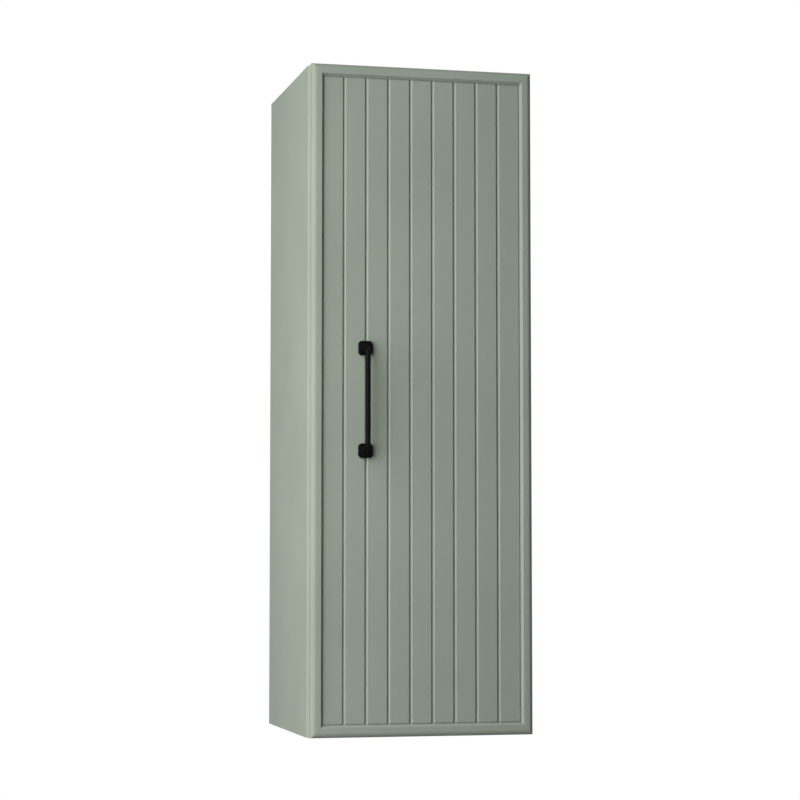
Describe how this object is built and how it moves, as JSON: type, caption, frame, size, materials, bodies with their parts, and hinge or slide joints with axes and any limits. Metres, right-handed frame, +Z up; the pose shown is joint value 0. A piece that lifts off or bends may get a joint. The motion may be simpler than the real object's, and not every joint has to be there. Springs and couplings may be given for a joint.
{
  "type": "wall-hung bathroom cabinet",
  "caption": "Tall narrow wall-hung bathroom cabinet: lacquered carcass with shelves, a framed V-grooved door on concealed cup hinges, a bar handle and wall hangers.",
  "frame": {"origin": "on the wall plane, in the middle of the four holes of the wall plates", "axes": "+X to the right of someone facing the door, +Y into the wall, +Z up"},
  "size_m": [0.36, 0.3717, 1.05],
  "materials": {
    "green_lacquer": "matt sage-green lacquer on board",
    "back_board": "thin hardboard, matt lacquer",
    "black_coat": "satin black powder coat",
    "nickel_steel": "nickel-plated steel",
    "zinc_steel": "bright zinc-plated steel",
    "white_plastic": "moulded, fine grain",
    "beech": "fluted beech",
    "soft_clear": "soft translucent",
    "magnet_block": "dark ferrite"
  },
  "bodies": {
    "carcass": {"back_panel": "back_board", "bottom_panel": "green_lacquer", "cam_bolts": "zinc_steel", "cam_locks": "zinc_steel", "catch_body": "white_plastic", "catch_magnet": "magnet_block", "catch_poles": "zinc_steel", "catch_screws": "zinc_steel", "dowels": "beech", "hanger_body_left": "white_plastic", "hanger_body_right": "white_plastic", "hanger_cover_left": "white_plastic", "hanger_cover_right": "white_plastic", "hanger_hook_left": "zinc_steel", "hanger_hook_right": "zinc_steel", "hanger_screws": "zinc_steel", "hinge_arm_bottom": "nickel_steel", "hinge_arm_middle": "nickel_steel", "hinge_arm_screws": "zinc_steel", "hinge_arm_top": "nickel_steel", "hinge_plate_bottom": "nickel_steel", "hinge_plate_middle": "nickel_steel", "hinge_plate_screws": "zinc_steel", "hinge_plate_top": "nickel_steel", "shelf_lower": "green_lacquer", "shelf_pins": "nickel_steel", "shelf_upper": "green_lacquer", "side_panel_left": "green_lacquer", "side_panel_right": "green_lacquer", "top_panel": "green_lacquer", "wall_plate_left": "zinc_steel", "wall_plate_right": "zinc_steel"},
    "door_leaf": {"door": "green_lacquer", "door_bumpers": "soft_clear", "handle_bar": "black_coat", "handle_rosette_upper": "black_coat", "handle_rosette_lower": "black_coat", "handle_screws": "zinc_steel", "hinge_cup_top": "nickel_steel", "hinge_cup_middle": "nickel_steel", "hinge_cup_bottom": "nickel_steel", "hinge_pins": "nickel_steel", "hinge_cup_screws": "zinc_steel", "catch_strike": "nickel_steel", "strike_screws": "zinc_steel"}
  },
  "joints": [
    {"name": "door_swing", "type": "hinge", "parent": "carcass", "child": "door_leaf", "pos_m": [0.1702, -0.3395, -0.455], "axis": [0, 0, 1], "range_deg": [0, 95]}
  ]
}
